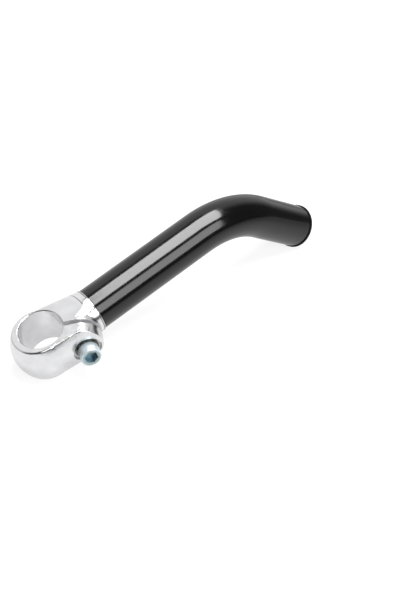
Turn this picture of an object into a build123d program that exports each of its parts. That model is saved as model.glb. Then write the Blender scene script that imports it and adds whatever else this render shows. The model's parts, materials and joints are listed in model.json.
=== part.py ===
from build123d import *
import math
import os

# A bicycle bar end: a cast clamp that pinches the end of a handlebar, and a bent tube to hold.
# The clamp is drawn with its bore upright along Z and the tube along X, and the whole part is
# then tipped on to the two rims that it rests on. All sizes are in millimetres and degrees.

# Handlebar bore
bar_diameter = 22.2
bore_clearance = 0.05
bore_chamfer = 0.3

# Ring of the clamp, a barrel whose middle stands out and whose far side is the thicker one
clamp_width = 22.5
facing_stock = 0.05
ring_offset = 1.75
ring_top_radius = 12.9
ring_middle_radius = 15.65
ring_bottom_radius = 12.55
edge_round = 1.2

# How far under the ring's skin the web and the ears start, so that they join it solidly
skin_depth = 0.2

# Collar that carries the tube, and the spigot inside it
collar_reach = 27.7
collar_lip = 1.2
collar_overlap = 0.5
lip_chamfer = 0.35
facing_radius = 23.6
web_flat_angle = 10.0
web_side_angle = 68.0
spigot_length = 20.0
spigot_clearance = 0.03
spigot_chamfer = 1.0

# Slit and its two ears, measured along the slit and across it from the bore's axis
slit_angle = 30.0
slit_width = 2.2
ear_reach = 27.8
ear_corner = 11.2
outer_ear_start = 4.3
outer_ear_bend = 16.7
outer_ear_edge = 6.75
outer_ear_bulge = 2.7
nose_edge = 5.2
nose_bulge = 1.4
inner_ear_edge = 6.2
seat_height = 6.5
spot_face_radius = 7.3

# Bolt, M6 with a socket head. Its axis leans towards the visible face and outwards, so that it
# stands square to the ear's slope and a hex key clears the handlebar's grip.
bolt_distance = 17.5
bolt_drop = 2.8
bolt_tilt = 8.7
bolt_slant = 14.2
thread_diameter = 6.0
thread_clearance = 0.05
through_clearance = 0.3
drill_overrun = 0.3
bolt_length = 20.0
bolt_end_chamfer = 0.9
hole_spare = 1.8
drill_tip_angle = 118.0
drill_tip_flat = 0.4
head_diameter = 10.4
head_height = 6.0
head_chamfer = 0.8
socket_across_flats = 6.0
socket_turn = 35.0
socket_depth = 3.2
socket_mouth_diameter = 7.2
socket_mouth_depth = 0.35

# Spring washer under the bolt's head and flat washer under that, in the spot face
spring_washer_diameter = 10.4
spring_washer_thickness = 1.6
spring_washer_gap = 1.1
spring_gap_turn = 150.0
spring_gap_slant = 25.0
flat_washer_diameter = 12.0
flat_washer_thickness = 1.0
washer_bore_clearance = 0.1
seat_clearance = 0.05

# Bent tube
tube_diameter = 22.2
tube_wall = 1.5
bend_start = 95.3
bend_radius = 47.5
bend_angle = 48.7
bend_turn = 3.7
tail_length = 32.4
tube_edge_break = 0.3

# End plug
flange_overhang = 0.45
flange_thickness = 1.5
flange_chamfer = 0.5
stem_length = 13.0
stem_wall = 1.6
stem_relief = 0.35
rib_clearance = 0.02
rib_count = 4
rib_width = 0.9

# How the part lies on a table, on the ring's lower rim and the plug's rim
rest_pitch = 13.36
rest_roll = 1.2

# Sizes worked out from those above
bore_radius = bar_diameter / 2 + bore_clearance
half_width = clamp_width / 2
cast_half = half_width + facing_stock
tube_radius = tube_diameter / 2
tube_bore_radius = tube_radius - tube_wall
collar_radius = tube_radius + collar_overlap
thread_radius = thread_diameter / 2
head_radius = head_diameter / 2
washer_bore_radius = thread_radius + washer_bore_clearance
flat_washer_base = seat_height + seat_clearance
spring_washer_base = flat_washer_base + flat_washer_thickness + seat_clearance
head_base = spring_washer_base + spring_washer_thickness + seat_clearance
bolt_tip = head_base - bolt_length
far = 4 * collar_reach

# Where a cylinder or a cone stands from its own origin
upward = (Align.CENTER, Align.CENTER, Align.MIN)
downward = (Align.CENTER, Align.CENTER, Align.MAX)

# The ears are drawn with X along the slit and Y against the bolt's head, then turned into place.
ear_turn = Rot(Z=-slit_angle)
bolt_turn = Rot(Z=bolt_slant) * Rot(X=90 - bolt_tilt)
bolt_place = ear_turn * Pos(bolt_distance, 0, -bolt_drop) * bolt_turn
rest_turn = Rot(Y=-rest_pitch) * Rot(X=rest_roll)


def barrel_side(top, middle, bottom):
    """The bulging side line of the casting, from its top edge down to its bottom edge."""
    return ThreePointArc((top, cast_half), (middle, 0), (bottom, -cast_half))


def barrel_ring():
    """The ring round the bar, before it is bored, as a turned barrel."""
    side = barrel_side(ring_top_radius, ring_middle_radius, ring_bottom_radius)
    rest = Polyline(side @ 1, (0, -cast_half), (0, cast_half), side @ 0)
    half = make_face([side, rest])
    rim = half.vertices().filter_by(lambda v: v.X > edge_round)
    half = fillet(rim, edge_round)
    turned = revolve(Plane.XZ * half, Axis.Z)
    return Pos(-ring_offset, 0, 0) * turned


def tangent_to_ring(radius, reach, side):
    """Where a line from a point beside the collar's end touches a circle of the ring."""
    span = reach + ring_offset
    turn = math.atan2(side, span) + math.acos(radius / math.hypot(span, side))
    return -ring_offset + radius * math.cos(turn), radius * math.sin(turn)


def web_section(x, top, middle, bottom):
    """The ring's cross-section where the web leaves it, as eight edges round X."""
    right = barrel_side(top, middle, bottom)
    left = barrel_side(-top, -middle, -bottom)
    upper = Line(left @ 0, right @ 0)
    lower = Line(right @ 1, left @ 1)
    face = make_face([upper, right, lower, left])
    face = fillet(face.vertices(), edge_round)
    return Plane(origin=(x, 0, 0), x_dir=(0, 1, 0), z_dir=(1, 0, 0)) * face


def collar_section(x):
    """The collar's circle, split where the web's flats and sides run out on it."""
    marks = [web_flat_angle, web_side_angle]
    marks = marks + [180 - mark for mark in reversed(marks)]
    marks = marks + [-mark for mark in reversed(marks)]
    arcs = []
    for start, end in zip(marks, marks[1:] + [marks[0] + 360]):
        if end < start:
            end = end + 360
        arcs.append(CenterArc((0, 0), collar_radius, 90 - start, start - end))
    face = make_face(arcs)
    return Plane(origin=(x, 0, 0), x_dir=(0, 1, 0), z_dir=(1, 0, 0)) * face


def web():
    """The web, ruled from the ring's cross-section to the collar's circle."""
    web_end = collar_reach - collar_lip
    x, middle = tangent_to_ring(ring_middle_radius, web_end, collar_radius)
    share = math.sqrt(1 - ((x + ring_offset) / ring_top_radius) ** 2)
    top = ring_top_radius * share - skin_depth
    bottom = ring_bottom_radius * share - skin_depth
    start = web_section(x, top, middle - skin_depth, bottom)
    return loft([start, collar_section(web_end)], ruled=True)


def collar():
    """The short round end of the collar, with its chamfered lip."""
    web_end = collar_reach - collar_lip
    lip = Pos(web_end, 0, 0) * Rot(Y=90) * Cylinder(collar_radius, collar_lip, align=upward)
    outer_rim = lip.edges().filter_by(GeomType.CIRCLE).sort_by(Axis.X)[-1]
    return chamfer(outer_rim, lip_chamfer)


def ear_section(d, edge, bulge, bottom_edge):
    """The outer ear's cross-section at a distance along the slit, from the slit outwards."""
    side = barrel_side(edge, edge + bulge, bottom_edge)
    rest = Polyline(side @ 1, (0, -cast_half), (0, cast_half), side @ 0)
    face = make_face([side, rest])
    rim = face.vertices().filter_by(lambda v: v.X > edge_round)
    face = fillet(rim, edge_round)
    return Plane(origin=(d, 0, 0), x_dir=(0, -1, 0), z_dir=(-1, 0, 0)) * face


def ring_edge(radius):
    """How far out a circle of the ring lies from the slit where the outer ear starts."""
    centre_d = -ring_offset * math.cos(math.radians(slit_angle))
    centre_q = ring_offset * math.sin(math.radians(slit_angle))
    return centre_q + math.sqrt(radius ** 2 - (outer_ear_start - centre_d) ** 2)


def ears():
    """Both ears as one block, with the nose rounded as seen along the bolt."""
    start_top = ring_edge(ring_top_radius)
    start_bulge = ring_edge(ring_middle_radius) - start_top
    start_top = start_top - skin_depth
    start_bottom = ring_edge(ring_bottom_radius) - skin_depth
    start = ear_section(outer_ear_start, start_top, start_bulge, start_bottom)
    taper = ring_top_radius - ring_bottom_radius
    bend = ear_section(outer_ear_bend, outer_ear_edge, outer_ear_bulge, outer_ear_edge - taper)
    nose_end = ear_section(ear_reach, nose_edge, nose_bulge, nose_edge - taper)
    outer = loft([start, bend, nose_end], ruled=True)
    inner_length = ear_reach - outer_ear_start
    inner = Pos(outer_ear_start, 0, 0) * Box(
        inner_length, inner_ear_edge, 2 * cast_half, align=(Align.MIN, Align.MIN, Align.CENTER)
    )
    profile = RectangleRounded(2 * ear_reach, 2 * cast_half, ear_corner)
    nose = extrude(Plane.XZ * profile, far / 2, both=True)
    return ear_turn * ((outer + inner) & nose)


def spigot():
    """The stub inside the tube, which the tube is pressed and bonded on to."""
    radius = tube_bore_radius - spigot_clearance
    stub = Cylinder(radius, spigot_length, align=upward)
    stub = chamfer(stub.edges().filter_by(GeomType.CIRCLE).sort_by(Axis.Z)[-1], spigot_chamfer)
    return Pos(collar_reach, 0, 0) * Rot(Y=90) * stub


def faced(body):
    """A body of the casting with both its ends faced flat by a cutter that runs round the bore."""
    cutter = Cylinder(facing_radius, far, align=upward)
    body -= Pos(0, 0, half_width) * cutter
    return body - Pos(0, 0, -half_width) * Rot(X=180) * cutter


def bore():
    """The hole for the bar, with its chamfered mouths."""
    hole = Cylinder(bore_radius, 2 * far)
    mouth = Cone(bore_radius, bore_radius + 2 * bore_chamfer, 2 * bore_chamfer, align=upward)
    upper = Pos(0, 0, half_width - bore_chamfer) * mouth
    lower = Rot(X=180) * Pos(0, 0, half_width - bore_chamfer) * mouth
    return [hole, upper, lower]


def slit():
    """The pinch slit, from the bore out past the ears."""
    cut = Box(far, slit_width, far, align=(Align.MIN, Align.CENTER, Align.CENTER))
    return ear_turn * cut


def bolt_holes():
    """The spot face, the clearance hole in the outer ear and the tapped blind hole beyond it."""
    spot = Pos(0, 0, seat_height) * Cylinder(spot_face_radius, far, align=upward)
    through = Cylinder(thread_radius + through_clearance, 2 * seat_height, align=upward)
    through = Pos(0, 0, -drill_overrun) * through
    tapped_radius = thread_radius + thread_clearance
    depth = hole_spare - bolt_tip
    tapped = Cylinder(tapped_radius, depth, align=downward)
    flat_radius = drill_tip_flat / 2
    tip_height = (tapped_radius - flat_radius) / math.tan(math.radians(drill_tip_angle / 2))
    tip = Pos(0, 0, -depth) * Cone(flat_radius, tapped_radius, tip_height, align=downward)
    return [bolt_place * cut for cut in (spot, through, tapped, tip)]


def bar_clamp():
    """The one-piece casting with everything that is machined into it."""
    body = faced(barrel_ring()) + faced(web()) + faced(ears()) + collar() + spigot()
    for cut in bore() + [slit()] + bolt_holes():
        body -= cut
    return body


def tube_path():
    """The tube's centre line: straight, one bend towards the table and a short tail."""
    down = Plane(
        origin=(0, 0, 0), x_dir=(1, 0, 0),
        z_dir=(0, -math.cos(math.radians(bend_turn)), math.sin(math.radians(bend_turn)))
    )
    run = Line((collar_reach, 0), (bend_start, 0))
    bend = JernArc(run @ 1, run % 1, bend_radius, -bend_angle)
    tail = Line(bend @ 1, bend @ 1 + (bend % 1) * tail_length)
    return down * Wire([run, bend, tail])


def grip_tube():
    """The bent tube, swept as a ring along its centre line, with its free edge broken."""
    path = tube_path()
    start = Plane(origin=path @ 0, z_dir=path % 0)
    outside = sweep(start * Circle(tube_radius), path)
    inside = sweep(start * Circle(tube_bore_radius), path)
    tube = outside - inside
    end_point = path @ 1
    rim = tube.edges().filter_by(GeomType.CIRCLE).sort_by_distance(end_point)[:2]
    outer_rim = rim.sort_by(SortBy.RADIUS)[-1]
    return chamfer(outer_rim, tube_edge_break)


def end_plug():
    """The push-in plug: a thin flange with a chamfered rim and a ribbed, hollow stem."""
    path = tube_path()
    place = Plane(origin=path @ 1, z_dir=path % 1).location
    flange_radius = tube_radius + flange_overhang
    flange = Cylinder(flange_radius, flange_thickness, align=upward)
    flange = chamfer(flange.edges().filter_by(GeomType.CIRCLE).sort_by(Axis.Z)[-1], flange_chamfer)
    rib_radius = tube_bore_radius - rib_clearance
    stem_radius = rib_radius - stem_relief
    stem = Cylinder(stem_radius, stem_length, align=downward)
    pitch = stem_length / (rib_count + 1)
    for index in range(rib_count):
        rib = Cylinder(rib_radius, rib_width)
        stem += Pos(0, 0, -pitch * (index + 1)) * rib
    stem -= Cylinder(stem_radius - stem_wall, stem_length, align=downward)
    return place * (flange + stem)


def clamp_bolt():
    """The socket head cap screw, with its thread left as the plain outside cylinder."""
    head = Cylinder(head_radius, head_height, align=upward)
    head = chamfer(head.edges().filter_by(GeomType.CIRCLE).sort_by(Axis.Z)[-1], head_chamfer)
    hexagon = RegularPolygon(socket_across_flats / 2, 6, major_radius=False)
    socket = extrude(Rot(Z=socket_turn) * hexagon, -socket_depth)
    mouth_radius = socket_mouth_diameter / 2
    socket += Cone(socket_across_flats / 2, mouth_radius, socket_mouth_depth, align=downward)
    socket = Pos(0, 0, head_height) * socket
    shank = Cylinder(thread_radius, bolt_length, align=downward)
    shank = chamfer(shank.edges().filter_by(GeomType.CIRCLE).sort_by(Axis.Z)[0], bolt_end_chamfer)
    return bolt_place * Pos(0, 0, head_base) * (head - socket + shank)


def washer(diameter, thickness):
    """A plain round washer for the bolt, standing on its own origin."""
    disc = Cylinder(diameter / 2, thickness, align=upward)
    return disc - Cylinder(washer_bore_radius, thickness, align=upward)


def spring_washer():
    """The split spring washer, flattened under the bolt's head, with its slanted gap."""
    ring = washer(spring_washer_diameter, spring_washer_thickness)
    gap = Box(
        spring_washer_diameter, spring_washer_gap, far, align=(Align.MIN, Align.CENTER, Align.CENTER)
    )
    gap = Pos(0, 0, spring_washer_thickness / 2) * Rot(X=spring_gap_slant) * gap
    ring -= Rot(Z=spring_gap_turn) * gap
    return bolt_place * Pos(0, 0, spring_washer_base) * ring


def flat_washer():
    """The flat washer that spreads the bolt's load over the seat."""
    ring = washer(flat_washer_diameter, flat_washer_thickness)
    return bolt_place * Pos(0, 0, flat_washer_base) * ring


nodes = {
    "bar_clamp": bar_clamp(),
    "grip_tube": grip_tube(),
    "end_plug": end_plug(),
    "clamp_bolt": clamp_bolt(),
    "spring_washer": spring_washer(),
    "flat_washer": flat_washer(),
}

os.makedirs("parts", exist_ok=True)
for name, shape in nodes.items():
    export_step(rest_turn * shape, f"parts/{name}.step")
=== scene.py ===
import json
import math
import bpy
import numpy as np
from mathutils import Matrix, Vector


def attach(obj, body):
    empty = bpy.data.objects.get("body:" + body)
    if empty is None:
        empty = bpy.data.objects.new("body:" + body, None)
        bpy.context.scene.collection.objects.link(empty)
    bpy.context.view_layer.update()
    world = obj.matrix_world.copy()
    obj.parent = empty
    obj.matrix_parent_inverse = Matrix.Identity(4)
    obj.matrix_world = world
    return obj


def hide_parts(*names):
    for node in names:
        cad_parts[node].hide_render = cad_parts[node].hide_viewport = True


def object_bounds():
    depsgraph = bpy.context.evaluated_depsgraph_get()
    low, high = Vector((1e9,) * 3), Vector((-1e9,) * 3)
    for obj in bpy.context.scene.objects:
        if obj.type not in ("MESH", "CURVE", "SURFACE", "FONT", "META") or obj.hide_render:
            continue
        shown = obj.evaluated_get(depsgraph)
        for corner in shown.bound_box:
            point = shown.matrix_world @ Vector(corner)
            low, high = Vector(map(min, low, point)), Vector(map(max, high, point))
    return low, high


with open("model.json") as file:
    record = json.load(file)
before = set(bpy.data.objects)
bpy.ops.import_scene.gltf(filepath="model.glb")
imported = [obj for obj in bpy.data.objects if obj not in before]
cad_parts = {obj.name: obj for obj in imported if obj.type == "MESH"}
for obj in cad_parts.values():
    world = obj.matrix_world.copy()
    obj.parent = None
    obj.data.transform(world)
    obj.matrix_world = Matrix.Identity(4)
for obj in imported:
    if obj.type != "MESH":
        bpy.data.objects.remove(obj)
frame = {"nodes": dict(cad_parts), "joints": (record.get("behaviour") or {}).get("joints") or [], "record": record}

cadLow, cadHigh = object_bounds()
mm = 0.001
nodes = frame["nodes"]
boreAxis = Vector(frame["record"]["mounts"][0]["axis"]).normalized()
boltJoint = next(joint for joint in frame["joints"] if joint["name"] == "bolt_turn")
boltAxis = Vector(boltJoint["axis"]).normalized()
seatCentre = Vector(boltJoint["pos_m"])
slitNormal = Vector((0.4823, 0.8658, 0.1332))   # square to the slit's two walls
tubeAxis = Vector((0.97294, 0.0, 0.23107))      # along the collar and the tube's straight run
print("frame loaded, box", [round(v, 4) for v in (*cadLow, *cadHigh)])


# Colours and nodes

colourA, colourB, colourOut = 6, 7, 2   # a Mix node's colour sockets, which go by number
noiseDetail = 2.0                       # octaves of a plain noise
noiseMiddle = (0.3, 0.7)                # most of a noise lies between these
plainWhite = (1, 1, 1, 1)


def linear(hexColour):
    # sRGB hex to the linear colour that the shader wants
    values = [int(hexColour[i:i + 2], 16) / 255 for i in (1, 3, 5)]
    return [v / 12.92 if v <= 0.04045 else ((v + 0.055) / 1.055) ** 2.4 for v in values] + [1.0]


def addNode(tree, kind, settings=None, links=None):
    # kind is the node's type after "ShaderNode"; settings are the node's own fields, or a socket's
    # name or number and its value; links are this node's socket and the output that feeds it
    node = tree.nodes.new("ShaderNode" + kind)
    for key, value in (settings or {}).items():
        if isinstance(key, str) and hasattr(node, key):
            setattr(node, key, value)
        else:
            node.inputs[key].default_value = value
    for key, source in (links or {}).items():
        tree.links.new(source, node.inputs[key])
    return node


def newMaterial(name):
    # an empty node material with its shader and output, and Object coordinates in metres
    material = bpy.data.materials.new(name)
    material.use_nodes = True
    tree = material.node_tree
    tree.nodes.clear()
    shader = addNode(tree, "BsdfPrincipled")
    addNode(tree, "OutputMaterial", links={"Surface": shader.outputs["BSDF"]})
    place = addNode(tree, "TexCoord").outputs["Object"]
    return material, tree, shader, place


def dress(piece, material):
    piece.data.materials.clear()
    piece.data.materials.append(material)


def cyclesPerMetre(millimetres):
    return 1 / (millimetres * mm)


def spread(span):
    # settings that spread a noise from the span's first value to its second
    return {"From Min": noiseMiddle[0], "From Max": noiseMiddle[1],
            "To Min": span[0], "To Max": span[1]}


def alignment(tree, vector, axis):
    # how far a vector runs along an axis, in either sense: the size of their dot product
    dot = addNode(tree, "VectorMath", {"operation": "DOT_PRODUCT", 1: axis}, {0: vector})
    return addNode(tree, "Math", {"operation": "ABSOLUTE"}, {0: dot.outputs["Value"]}).outputs[0]


def roundAxis(tree, place, axis):
    # height along an axis, the dot product, and distance from it, the length of what that leaves
    height = addNode(tree, "VectorMath", {"operation": "DOT_PRODUCT", 1: axis}, {0: place})
    height = height.outputs["Value"]
    onAxis = addNode(tree, "VectorMath", {"operation": "SCALE", 0: axis}, {"Scale": height})
    radius = addNode(tree, "VectorMath", {"operation": "DISTANCE"},
                     {0: place, 1: onAxis.outputs[0]})
    return height, radius.outputs["Value"]


def drawnLine(tree, distance, line):
    # a thin line at one distance: its full share within half its width, fading to nothing outside
    offset = addNode(tree, "Math", {"operation": "SUBTRACT", 1: line["at"] * mm}, {0: distance})
    offset = addNode(tree, "Math", {"operation": "ABSOLUTE"}, {0: offset.outputs[0]})
    drawn = addNode(tree, "MapRange", {
        "From Min": line["half"] * mm, "From Max": line["fade"] * line["half"] * mm,
        "To Min": line["share"], "To Max": 0.0}, {"Value": offset.outputs[0]})
    return drawn.outputs["Result"]


# Cast aluminium: lengths in millimetres, and a face's lean as the cosine of it. The cutter's marks
# are drawn further apart than real ones, which are too fine to show.

castLook = dict(
    brightTone="#EAEAEB", dullTone="#D4D4D6", lineAndShadeTone="#6A655F",
    roughness=(0.12, 0.22), facedRoughness=(0.14, 0.24), sawnRoughness=0.6, spotRoughness=0.5,
    skinLump=5.5, skinLumpHeight=0.14,
    skinGrain=0.9, skinGrainHeight=0.02, skinGrainDetail=3.0, skinGrainRoughness=0.6,
    creaseRound=0.35, creaseSamples=4,
    cutterStep=0.45, cutterHeight=0.004, facedLean=(0.985, 0.999),
    sawnHalf=1.13, sawnLean=0.95, spotRadius=7.35, spotBelow=0.1,
    # the lip line is painted shade, where the tube meets the collar's lip
    lipShadeLine=dict(at=26.95, half=0.16, fade=1.6, share=1.0),
    cutterEdge=dict(at=23.6, half=0.13, fade=1.6, share=0.75), cutterEdgeLean=0.8,
)


def castAluminium():
    # Die-cast aluminium, tumbled and buffed bright, with its two end faces and its bore machined.
    # The skin reflects like a mirror that is slightly lumpy, and the machined faces look a little
    # duller.
    look = castLook
    material, tree, shader, place = newMaterial("buffedCastAluminium")
    shader.inputs["Metallic"].default_value = 1.0
    lump = addNode(tree, "TexNoise", {
        "Scale": cyclesPerMetre(look["skinLump"]), "Detail": noiseDetail}, {"Vector": place})
    lump = lump.outputs["Fac"]
    grain = addNode(tree, "TexNoise", {
        "Scale": cyclesPerMetre(look["skinGrain"]), "Detail": look["skinGrainDetail"],
        "Roughness": look["skinGrainRoughness"]}, {"Vector": place})
    grain = grain.outputs["Fac"]
    normal = addNode(tree, "NewGeometry").outputs["Normal"]
    # the machined faces are those square to the bore
    facing = alignment(tree, normal, boreAxis)
    faced = addNode(tree, "MapRange", {
        "From Min": look["facedLean"][0], "From Max": look["facedLean"][1]}, {"Value": facing})
    faced = faced.outputs["Result"]
    boreRadius = roundAxis(tree, place, boreAxis)[1]
    castSkin(tree, shader, lump, grain, faced, boreRadius)
    castTone(tree, shader, place, lump, facing, boreRadius)
    castRoughness(tree, shader, place, normal, lump, grain, faced)
    return material


def castSkin(tree, shader, lump, grain, faced, boreRadius):
    # lumps on the cast skin, a fine grain all over, and on the faced ends the cutter's rings round
    # the bore: the sine of the radius, one turn for each step
    look = castLook
    turns = addNode(tree, "Math", {
        "operation": "MULTIPLY", 1: 2 * math.pi * cyclesPerMetre(look["cutterStep"])},
        {0: boreRadius})
    rings = addNode(tree, "Math", {"operation": "SINE"}, {0: turns.outputs[0]})
    rings = addNode(tree, "Math", {"operation": "MULTIPLY"}, {0: rings.outputs[0], 1: faced})
    skin = addNode(tree, "Math", {"operation": "SUBTRACT", 0: 1.0}, {1: faced})
    crease = addNode(tree, "Bevel", {
        "samples": look["creaseSamples"], "Radius": look["creaseRound"] * mm})
    lumped = addNode(tree, "Bump", {"Distance": look["skinLumpHeight"] * mm}, {
        "Height": lump, "Strength": skin.outputs[0], "Normal": crease.outputs[0]})
    grained = addNode(tree, "Bump", {
        "Strength": 1.0, "Distance": look["skinGrainHeight"] * mm},
        {"Height": grain, "Normal": lumped.outputs[0]})
    ringed = addNode(tree, "Bump", {
        "Strength": 1.0, "Distance": look["cutterHeight"] * mm},
        {"Height": rings.outputs[0], "Normal": grained.outputs[0]})
    tree.links.new(ringed.outputs[0], shader.inputs["Normal"])


def castTone(tree, shader, place, lump, facing, boreRadius):
    # the bright tone drifts with the lumps; a dark line of painted shade runs just short of the
    # collar's lip, where the tube meets it, and another marks where the facing cutter stopped on the web
    look = castLook
    tone = addNode(tree, "Mix", {
        "data_type": "RGBA", colourA: linear(look["dullTone"]),
        colourB: linear(look["brightTone"])}, {"Factor": lump})
    outward = addNode(tree, "VectorMath", {"operation": "DOT_PRODUCT", 1: tubeAxis}, {0: place})
    lipShadeLine = drawnLine(tree, outward.outputs["Value"], look["lipShadeLine"])
    cutterEdge = drawnLine(tree, boreRadius, look["cutterEdge"])
    onTop = addNode(tree, "Math", {
        "operation": "GREATER_THAN", 1: look["cutterEdgeLean"]}, {0: facing})
    cutterEdge = addNode(tree, "Math", {"operation": "MULTIPLY"},
                         {0: cutterEdge, 1: onTop.outputs[0]})
    lines = addNode(tree, "Math", {"operation": "MAXIMUM"},
                    {0: lipShadeLine, 1: cutterEdge.outputs[0]})
    tone = addNode(tree, "Mix", {"data_type": "RGBA", colourB: linear(look["lineAndShadeTone"])},
                   {"Factor": lines.outputs[0], colourA: tone.outputs[colourOut]})
    tree.links.new(tone.outputs[colourOut], shader.inputs["Base Color"])


def castRoughness(tree, shader, place, normal, lump, grain, faced):
    # the grain varies the skin's roughness, and the lumps that of the machined faces
    look = castLook
    rough = addNode(tree, "MapRange", spread(look["roughness"]), {"Value": grain})
    roughFaced = addNode(tree, "MapRange", spread(look["facedRoughness"]), {"Value": lump})
    rough = addNode(tree, "Mix", {}, {
        "Factor": faced, "A": rough.outputs["Result"], "B": roughFaced.outputs["Result"]})
    # the sawn walls of the slit are duller than the skin
    nearSlit = addNode(tree, "Math", {"operation": "LESS_THAN", 1: look["sawnHalf"] * mm},
                       {0: alignment(tree, place, slitNormal)})
    alongSlit = addNode(tree, "Math", {"operation": "GREATER_THAN", 1: look["sawnLean"]},
                        {0: alignment(tree, normal, slitNormal)})
    sawn = addNode(tree, "Math", {"operation": "MULTIPLY"},
                   {0: nearSlit.outputs[0], 1: alongSlit.outputs[0]})
    rough = addNode(tree, "Mix", {"B": look["sawnRoughness"]},
                    {"Factor": sawn.outputs[0], "A": rough.outputs["Result"]})
    # the spot face round the bolt is milled and left matt
    fromSeat = addNode(tree, "VectorMath", {"operation": "SUBTRACT", 1: seatCentre}, {0: place})
    height, radius = roundAxis(tree, fromSeat.outputs[0], boltAxis)
    above = addNode(tree, "Math", {
        "operation": "GREATER_THAN", 1: -look["spotBelow"] * mm}, {0: height})
    within = addNode(tree, "Math", {
        "operation": "LESS_THAN", 1: look["spotRadius"] * mm}, {0: radius})
    spot = addNode(tree, "Math", {"operation": "MULTIPLY"},
                   {0: above.outputs[0], 1: within.outputs[0]})
    rough = addNode(tree, "Mix", {"B": look["spotRoughness"]},
                    {"Factor": spot.outputs[0], "A": rough.outputs["Result"]})
    tree.links.new(rough.outputs["Result"], shader.inputs["Roughness"])


# Black tube and plug, and zinc plated steel: lengths in millimetres. The plug's and the plating's
# grains are drawn coarser than real ones, which are too fine to show.

# Baked gloss black coat on a steel tube: near black, with a sharp reflection that the coat's slow
# waves bend slightly.
tubeLook = dict(tone="#030304", ior=1.5, roughness=(0.11, 0.15), grain=2.2, grainHeight=0.002)

# Moulded black polyethylene: about as black as the tube but duller, with a fine grain.
plugLook = dict(tone="#060606", ior=1.4, roughness=(0.45, 0.58), grain=0.5, grainHeight=0.008)


def grainedMaterial(name, look):
    # a new material whose surface a noise lifts by the grain's height
    material, tree, shader, place = newMaterial(name)
    grain = addNode(tree, "TexNoise", {
        "Scale": cyclesPerMetre(look["grain"]), "Detail": noiseDetail}, {"Vector": place})
    grain = grain.outputs["Fac"]
    bump = addNode(tree, "Bump", {"Strength": 1.0, "Distance": look["grainHeight"] * mm},
                   {"Height": grain})
    tree.links.new(bump.outputs[0], shader.inputs["Normal"])
    return material, tree, shader, place, grain


def blackFinish(name, look):
    # one dark tone, and one noise that lifts the surface and varies its roughness
    material, tree, shader, place, grain = grainedMaterial(name, look)
    rough = addNode(tree, "MapRange", spread(look["roughness"]), {"Value": grain})
    tree.links.new(rough.outputs["Result"], shader.inputs["Roughness"])
    shader.inputs["Base Color"].default_value = linear(look["tone"])
    shader.inputs["IOR"].default_value = look["ior"]
    return material


boltLook = dict(
    tone="#CCD5D8", shade="#AEBBC0", drift=1.6, roughness=(0.32, 0.46),
    grain=0.3, grainHeight=0.004, metallic=0.6,
)
# painted shade: a darker zinc tone for the shade inside the hex socket
socketShadeLook = dict(
    tone="#8FA7B2", shade="#6C8995", drift=1.0, roughness=(0.35, 0.50),
    grain=0.3, grainHeight=0.004, metallic=0.9,
)
headFaceLook = dict(
    tone="#A5B2B3", shade="#8B9999", drift=1.0, roughness=(0.32, 0.46),
    grain=0.3, grainHeight=0.004, metallic=0.75,
)
springWasherLook = dict(
    tone="#C4CED2", shade="#8E999E", drift=1.2, roughness=(0.28, 0.42),
    grain=0.4, grainHeight=0.004, metallic=1.0,
)
# painted shade: the flat washer's dark tone stands in for the shade under the bolt's head
flatWasherShadeLook = dict(
    tone="#7C796C", shade="#4A483F", drift=1.2, roughness=(0.30, 0.45),
    grain=0.4, grainHeight=0.004, metallic=1.0,
)


def platedSteel(name, look):
    # Zinc plated steel: a slightly blue metal whose brightness drifts from place to place. Its
    # clear passivated film scatters a little light, so the bolt is not all mirror and its shaded
    # side stays pale.
    material, tree, shader, place, grain = grainedMaterial(name, look)
    drift = addNode(tree, "TexNoise", {
        "Scale": cyclesPerMetre(look["drift"]), "Detail": noiseDetail}, {"Vector": place})
    drift = drift.outputs["Fac"]
    tone = addNode(tree, "Mix", {
        "data_type": "RGBA", colourA: linear(look["shade"]), colourB: linear(look["tone"])},
        {"Factor": drift})
    tree.links.new(tone.outputs[colourOut], shader.inputs["Base Color"])
    rough = addNode(tree, "MapRange", spread(look["roughness"]), {"Value": drift})
    tree.links.new(rough.outputs["Result"], shader.inputs["Roughness"])
    shader.inputs["Metallic"].default_value = look["metallic"]
    return material


# The bolt with its thread: lengths in millimetres, heights from the head's underside, angles in
# degrees

boltSize = dict(
    headRadius=5.2, headHeight=6.0, headEdge=0.8, footEdge=0.3, edgeRows=6, lift=2.75,
    socketFlats=6.0, socketTurn=47.5, socketDepth=3.2, socketMiddle=0.3,
    mouthRadius=3.6, mouthDepth=0.25,
    crestRadius=2.98, rootRadius=2.42, threadStep=1.0, threadStart=0.15, rowsPerStep=12,
    flankSlope=2.4, rootFlat=0.15, runOutStart=0.4, runOutLength=1.5,
    shankLength=20.0, tipLength=0.9, tipRadius=2.1, tipMiddle=0.4,
    columns=96, sharpAngle=32, socketStrips=2, headFaceStrips=2,
)


def gridMesh(name, points):
    # points is rows by columns by 3; each row closes on itself, and the first and last rows each
    # close to a point, their middle
    rows, columns = points.shape[:2]
    vertices = np.vstack([points.reshape(-1, 3), points[0].mean(0), points[-1].mean(0)])
    row, column = np.meshgrid(np.arange(rows - 1), np.arange(columns), indexing="ij")
    nextColumn = (column + 1) % columns
    quads = np.stack([
        row * columns + column, row * columns + nextColumn,
        (row + 1) * columns + nextColumn, (row + 1) * columns + column], -1)
    firstRing = np.arange(columns)
    lastRing = (rows - 1) * columns + firstRing
    firstCap = np.stack([
        np.full(columns, rows * columns), np.roll(firstRing, -1), firstRing], -1)
    lastCap = np.stack([
        np.full(columns, rows * columns + 1), lastRing, np.roll(lastRing, -1)], -1)
    faces = quads.reshape(-1, 4).tolist() + firstCap.tolist() + lastCap.tolist()
    mesh = bpy.data.meshes.new(name)
    mesh.from_pydata(vertices.tolist(), [], faces)
    mesh.validate()
    mesh.shade_smooth()
    mesh.set_sharp_from_angle(angle=math.radians(boltSize["sharpAngle"]))
    return mesh


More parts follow.
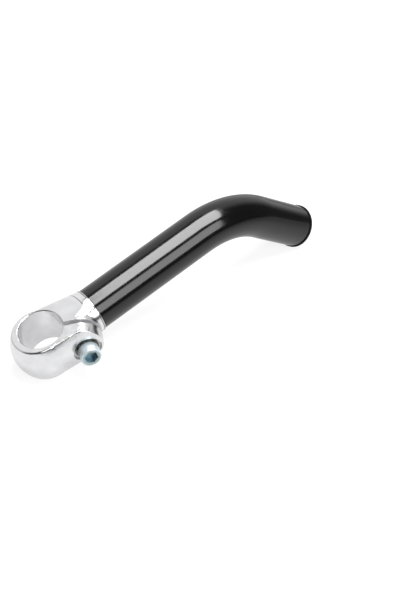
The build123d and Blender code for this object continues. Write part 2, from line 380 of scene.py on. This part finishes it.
def screwProfile(turn):
    # The screw is one profile carried round its axis. Its radius is a function of the turn a and
    # the height z. In the socket it is the hexagon: half the flats over cos(a), counted from the
    # nearest flat's middle. On the shank it runs between root and crest with the phase
    # z / step - a / one turn, and the groove runs out below the head.
    size = boltSize
    even = np.ones_like(turn)
    fromFlat = np.mod(turn, math.pi / 3) - math.pi / 6
    hexagon = size["socketFlats"] / 2 / np.cos(fromFlat)
    top = size["headHeight"]
    socketFloor = top - size["socketDepth"]
    rows = [
        (size["socketMiddle"] * even, socketFloor),
        (hexagon, socketFloor),
        (hexagon, top - size["mouthDepth"]),
        (size["mouthRadius"] * even, top),
    ]
    # the head's upper and lower edges are quarter circles
    bend = np.linspace(0, math.pi / 2, size["edgeRows"])
    for b in bend:
        rows.append(((size["headRadius"] - size["headEdge"] * (1 - math.sin(b))) * even,
                     top - size["headEdge"] * (1 - math.cos(b))))
    for b in bend[::2]:
        rows.append(((size["headRadius"] - size["footEdge"] * (1 - math.cos(b))) * even,
                     size["footEdge"] * (1 - math.sin(b))))
    rows.append((size["crestRadius"] * even, 0.0))
    headRadius = np.array([ring for ring, level in rows])
    headHeight = np.array([level for ring, level in rows])[:, None] * even
    shank = np.arange(-size["threadStart"], size["tipLength"] - size["shankLength"],
                      -size["threadStep"] / size["rowsPerStep"])[:, None]
    phase = np.mod(shank / size["threadStep"] - turn / (2 * math.pi), 1)
    rise = np.clip(np.abs(phase - 0.5) * size["flankSlope"] - size["rootFlat"], 0, 1)
    runOut = np.clip((-shank - size["runOutStart"]) / size["runOutLength"], 0, 1)
    threadDepth = size["crestRadius"] - size["rootRadius"]
    threadRadius = size["crestRadius"] - threadDepth * (1 - rise) * runOut
    tipRadius = np.vstack([size["tipRadius"] * even, size["tipMiddle"] * even])
    tipHeight = np.full_like(tipRadius, -size["shankLength"])
    radius = np.vstack([headRadius, threadRadius, tipRadius])
    height = np.vstack([headHeight, shank * even, tipHeight])
    return radius, height


def socketScrew():
    # each point is the centre, plus the radius turned round the bolt's axis, plus the height
    # along it
    size = boltSize
    turn = np.linspace(0, 2 * math.pi, size["columns"], endpoint=False)
    radius, height = screwProfile(turn)
    # the turn starts at a corner of the hexagon, counted from the level line square to the axis
    level = Vector((0, 0, 1)).cross(boltAxis).normalized()
    side = Matrix.Rotation(math.radians(size["socketTurn"]), 3, boltAxis) @ level
    up = boltAxis.cross(side)
    centre = np.array(seatCentre) + np.array(boltAxis) * size["lift"] * mm
    points = centre + mm * (
        (radius * np.cos(turn))[..., None] * np.array(side)
        + (radius * np.sin(turn))[..., None] * np.array(up)
        + height[..., None] * np.array(boltAxis))
    piece = bpy.data.objects.new("socketScrew", gridMesh("socketScrew", points))
    bpy.context.scene.collection.objects.link(piece)
    return piece


def dressScrew(screw):
    # the faces are numbered strip by strip from the socket's floor, and then come the first row's
    # cap and the last row's
    dress(screw, platedSteel("brightZincPlate", boltLook))
    screw.data.materials.append(platedSteel("shadedZincSocket", socketShadeLook))
    screw.data.materials.append(platedSteel("greyZincHeadFace", headFaceLook))
    strip = np.arange(len(screw.data.polygons)) // boltSize["columns"]
    firstCap = strip.max() - 1
    # painted shade: the socket's floor and walls get a darker zinc tone, for the shade inside the recess
    socketEnd = boltSize["socketStrips"]
    shadedSocket = (strip < socketEnd) | (strip == firstCap)
    # the socket's mouth and the head's flat get a greyer, darker zinc tone than the head's side
    faceEnd = socketEnd + boltSize["headFaceStrips"]
    onFace = (strip >= socketEnd) & (strip < faceEnd)
    materialIndex = (shadedSocket + 2 * onFace).astype(np.int32)
    screw.data.polygons.foreach_set("material_index", materialIndex)


screw = socketScrew()
dressScrew(screw)
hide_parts("clamp_bolt")
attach(screw, "bolt")
dress(nodes["bar_clamp"], castAluminium())
dress(nodes["grip_tube"], blackFinish("bakedGlossBlackCoat", tubeLook))
dress(nodes["end_plug"], blackFinish("mouldedBlackPolyethylene", plugLook))
dress(nodes["spring_washer"], platedSteel("dullZincPlate", springWasherLook))
# painted shade: the lower washer gets a dark tone for the shade under the bolt's head
dress(nodes["flat_washer"], platedSteel("shadedZincWasher", flatWasherShadeLook))
print("materials and screw made")


# Floor and world: each fade gives its axis, where it starts and ends, and the level before and
# after it

floorLook = dict(
    radius=0.42, sides=96, tone="#E6E6E6", shadowShare=0.18, glow=0.84, mirroredGlow=0.67,
    fades=(("X", 0.12, 0.26, 1.0, 0.12), ("Y", -0.30, -0.02, 0.25, 1.0)),
)
worldLook = dict(
    litLevel=0.35, cameraLevel=1.0,
    fades=(("Y", -0.15, 0.40, 0.12, 1.0), ("X", -0.45, -0.10, 0.6, 1.0),
           ("Z", 0.82, 0.90, 1.0, 0.22)),
)


def fadedLevel(tree, vector, fades):
    # the product of one smooth step for each fade
    parts = addNode(tree, "SeparateXYZ", links={"Vector": vector})
    product = None
    for axis, start, end, before, after in fades:
        step = addNode(tree, "MapRange", {
            "interpolation_type": "SMOOTHSTEP", "From Min": start, "From Max": end,
            "To Min": before, "To Max": after}, {"Value": parts.outputs[axis]})
        step = step.outputs["Result"]
        if product is not None:
            step = addNode(tree, "Math", {"operation": "MULTIPLY"}, {0: product, 1: step})
            step = step.outputs[0]
        product = step
    return product


def paleTable():
    # A pale matt table. Light that falls on things comes from its plain tone. The camera and
    # reflections see a white glow instead, over a dim diffuse share that keeps the shadow.
    look = floorLook
    material, tree, shader, place = newMaterial("paleTable")
    tree.nodes.remove(shader)
    output = next(node for node in tree.nodes if node.type == "OUTPUT_MATERIAL")
    path = addNode(tree, "LightPath")
    shown = addNode(tree, "Math", {"operation": "MAXIMUM"},
                    {0: path.outputs["Is Camera Ray"], 1: path.outputs["Is Glossy Ray"]})
    shown = addNode(tree, "Math", {"operation": "MAXIMUM"},
                    {0: shown.outputs[0], 1: path.outputs["Is Transmission Ray"]})
    plain = addNode(tree, "BsdfDiffuse", {"Color": linear(look["tone"])})
    dim = addNode(tree, "BsdfDiffuse", {"Color": (*[look["shadowShare"]] * 3, 1)})
    # in reflections the table gets darker to the right and in front, where the lit area ends
    mirrored = addNode(tree, "Math", {"operation": "MULTIPLY", 1: look["mirroredGlow"]},
                       {0: fadedLevel(tree, place, look["fades"])})
    strength = addNode(tree, "Mix", {"B": look["glow"]},
                       {"Factor": path.outputs["Is Camera Ray"], "A": mirrored.outputs[0]})
    glow = addNode(tree, "Emission", {"Color": plainWhite},
                   {"Strength": strength.outputs["Result"]})
    pale = addNode(tree, "AddShader", links={0: dim.outputs[0], 1: glow.outputs[0]})
    mix = addNode(tree, "MixShader", links={
        0: shown.outputs[0], 1: plain.outputs[0], 2: pale.outputs[0]})
    tree.links.new(mix.outputs[0], output.inputs["Surface"])
    return material


def makeFloor():
    # a flat disc under the object: one ring of points and one face
    look = floorLook
    angles = np.linspace(0, 2 * math.pi, look["sides"], endpoint=False)
    centre = (cadLow + cadHigh) / 2
    ring = np.stack([
        centre.x + look["radius"] * np.cos(angles), centre.y + look["radius"] * np.sin(angles),
        np.full(look["sides"], cadLow.z)], -1)
    mesh = bpy.data.meshes.new("floor")
    mesh.from_pydata(ring.tolist(), [], [list(range(look["sides"]))])
    floor = bpy.data.objects.new("floor", mesh)
    bpy.context.scene.collection.objects.link(floor)
    dress(floor, paleTable())


def makeWorld():
    # In reflections the room is dark on the camera's side and pale behind, and darker too at the
    # far left and overhead, behind the lamp. Light that falls on things has one plain level, and
    # the camera sees white.
    look = worldLook
    world = bpy.data.worlds.new("studio")
    bpy.context.scene.world = world
    world.use_nodes = True
    tree = world.node_tree
    tree.nodes.clear()
    direction = addNode(tree, "TexCoord").outputs["Generated"]
    path = addNode(tree, "LightPath")
    room = addNode(tree, "Mix", {"B": look["litLevel"]}, {
        "Factor": path.outputs["Is Diffuse Ray"], "A": fadedLevel(tree, direction, look["fades"])})
    white = addNode(tree, "Mix", {"B": look["cameraLevel"]},
                    {"Factor": path.outputs["Is Camera Ray"], "A": room.outputs["Result"]})
    background = addNode(tree, "Background", {"Color": plainWhite},
                         {"Strength": white.outputs["Result"]})
    addNode(tree, "OutputWorld", links={"Surface": background.outputs[0]})


# Lamps: where each stands and aims, its width and depth in metres, and its power in watts

lamps = dict(
    overhead=dict(place=(0.295, -0.06, 1.0), aim=(0.12, 0.0, 0.02), size=(0.61, 0.88), power=21.5),
    front=dict(place=(0.27, -0.88, 0.56), aim=(0.08, 0.0, 0.02), size=(0.60, 0.64), power=5.9),
    nearCamera=dict(
        place=(-0.33, -0.63, 0.80), aim=(0.01, -0.01, 0.0), size=(0.46, 0.28), power=1.8),
)


def makeLamp(name, spec):
    # a rectangle turned to its aim, its width as near the x axis as that allows; the camera
    # doesn't see it
    data = bpy.data.lights.new(name, "AREA")
    data.shape = "RECTANGLE"
    data.size, data.size_y = spec["size"]
    data.energy = spec["power"]
    lamp = bpy.data.objects.new(name, data)
    bpy.context.scene.collection.objects.link(lamp)
    back = (Vector(spec["place"]) - Vector(spec["aim"])).normalized()
    side = Vector((1, 0, 0)) - back * back.x
    side.normalize()
    turn = Matrix((side, back.cross(side), back)).transposed()
    lamp.matrix_world = Matrix.Translation(spec["place"]) @ turn.to_4x4()
    lamp.visible_camera = False


makeFloor()
makeWorld()
for name, spec in lamps.items():
    makeLamp(name, spec)
print("stage made")


# Camera: place in metres, focal length and long side in pixels, sensor in millimetres

cameraSpec = dict(
    place=(-0.208397, -0.385452, 0.431769),
    look=(0.45233, 0.57470, -0.68199), right=(0.79024, -0.61274, 0.00779),
    focalPixels=1258.18, longSide=601, sensor=36.0, clip=(0.01, 10),
)


def makeCamera():
    spec = cameraSpec
    data = bpy.data.cameras.new("camera")
    camera = bpy.data.objects.new("camera", data)
    bpy.context.scene.collection.objects.link(camera)
    data.sensor_width = spec["sensor"]
    data.lens = spec["focalPixels"] / spec["longSide"] * spec["sensor"]
    data.clip_start, data.clip_end = spec["clip"]
    back = -Vector(spec["look"]).normalized()
    right = Vector(spec["right"]).normalized()
    turn = Matrix((right, back.cross(right), back)).transposed()
    camera.matrix_world = Matrix.Translation(spec["place"]) @ turn.to_4x4()
    bpy.context.scene.camera = camera


makeCamera()
bpy.context.scene.view_settings.view_transform = "Standard"
